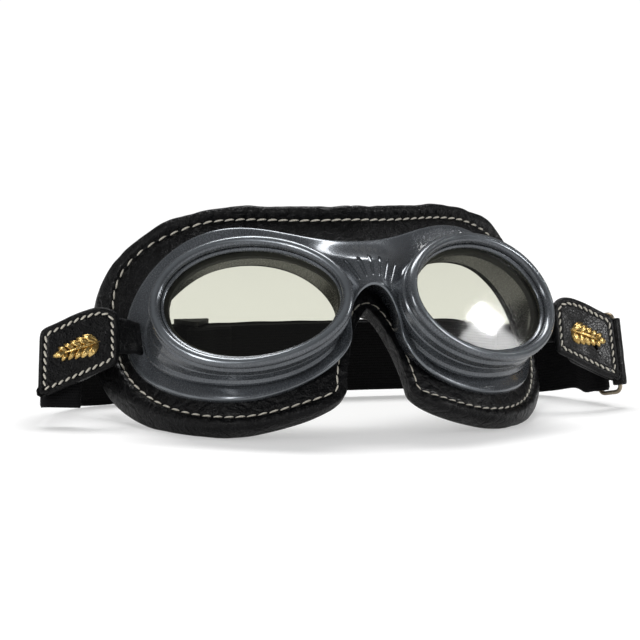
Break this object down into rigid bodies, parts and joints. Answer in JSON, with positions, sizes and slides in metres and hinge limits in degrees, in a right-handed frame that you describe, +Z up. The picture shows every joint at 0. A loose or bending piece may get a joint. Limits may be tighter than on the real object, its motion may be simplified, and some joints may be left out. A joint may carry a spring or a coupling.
{
  "type": "costume goggles",
  "caption": "Costume goggles with moulded gunmetal eyecups on a padded black leather mask, stitched leather side tabs with gilt sprigs and an elastic head band.",
  "frame": {"origin": "on the table, under the middle of the goggles' bounding box", "axes": "+Z up from the table, +Y from the lenses back towards the head band, +X to the right as seen from the front"},
  "size_m": [0.224, 0.1006, 0.0778],
  "materials": {
    "gunmetal": "moulded plastic with a satin gunmetal lacquer",
    "lens": "clear, slightly warm, polished",
    "black_plastic": "matt",
    "black_leather": "fine grain, soft sheen",
    "foam": "open foam",
    "lining": "brushed cloth",
    "gilt": "polished gilt casting",
    "ring_wire": "antiqued wire",
    "elastic": "woven elastic, matt"
  },
  "bodies": {
    "goggles": {"frame": "gunmetal", "lens_left": "lens", "lens_right": "lens", "snap_ring_left": "black_plastic", "snap_ring_right": "black_plastic", "mask_leather": "black_leather", "foam_pad": "foam", "face_lining": "lining", "side_strap_left": "black_leather", "side_strap_right": "black_leather", "tab_left": "black_leather", "tab_right": "black_leather", "tab_backing_left": "black_leather", "tab_backing_right": "black_leather", "sprig_left": "gilt", "sprig_right": "gilt", "elastic_band": "elastic", "elastic_return": "elastic"},
    "ring": {"wire_ring": "ring_wire"},
    "slider": {"slider": "black_plastic"}
  },
  "joints": [
    {"name": "ring_swivel", "type": "hinge", "parent": "goggles", "child": "ring", "pos_m": [0.10859, 0.00893, 0.02037], "axis": [-0.0658, 0.2151, 0.9744], "range_deg": [-7, 7]},
    {"name": "slider_slide", "type": "slide", "parent": "goggles", "child": "slider", "axis": [1, 0, 0], "range_m": [-0.003, 0.088], "deforming": ["elastic_return"]}
  ]
}
